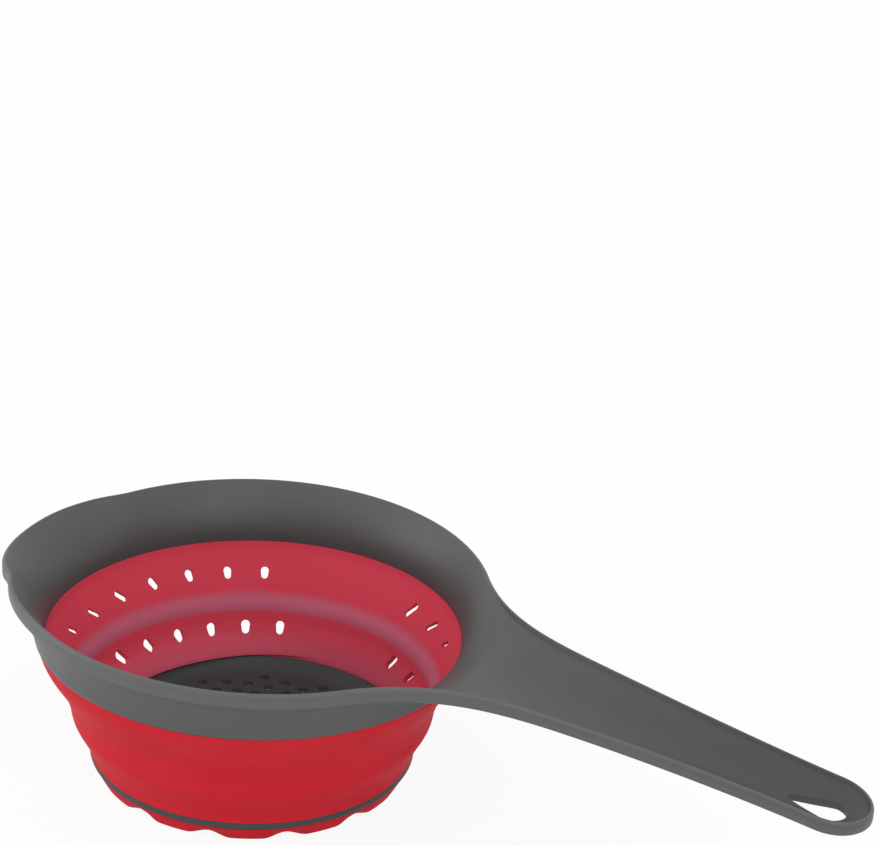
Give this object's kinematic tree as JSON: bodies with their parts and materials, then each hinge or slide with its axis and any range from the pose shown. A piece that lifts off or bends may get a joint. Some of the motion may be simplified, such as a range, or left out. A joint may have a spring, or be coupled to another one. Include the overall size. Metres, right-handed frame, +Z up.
{
  "type": "collapsible colander",
  "caption": "Collapsible colander with a soft folding wall, stiff perforated floor, pouring spout and long flat handle with a hang hole.",
  "frame": {"origin": "middle of the whole length and width, on the table under the foot", "axes": "+X along the handle, away from the pouring spout; +Z up out of the bowl; the slotted side of the wall faces +Y"},
  "size_m": [0.3712, 0.1934, 0.0856],
  "materials": {
    "grey_plastic": "satin moulded",
    "dark_plastic": "satin moulded",
    "red_silicone": "soft satin"
  },
  "bodies": {
    "base": {"foot_ring": "red_silicone", "floor_plate": "dark_plastic", "lower_wall_band": "red_silicone"},
    "middle": {"fold_ring": "red_silicone", "upper_wall_band": "red_silicone"},
    "top": {"rim_and_handle": "grey_plastic"}
  },
  "joints": [
    {"name": "fold_ring_slide", "type": "slide", "parent": "base", "child": "middle", "axis": [0, 0, -1], "range_m": [0, 0.0175], "deforming": ["lower_wall_band"]},
    {"name": "frame_slide", "type": "slide", "parent": "middle", "child": "top", "axis": [0, 0, -1], "range_m": [0, 0.0245], "deforming": ["upper_wall_band"]}
  ],
  "couplings": [
    {"joint": "frame_slide", "follows": "fold_ring_slide", "ratio": 1.4}
  ]
}
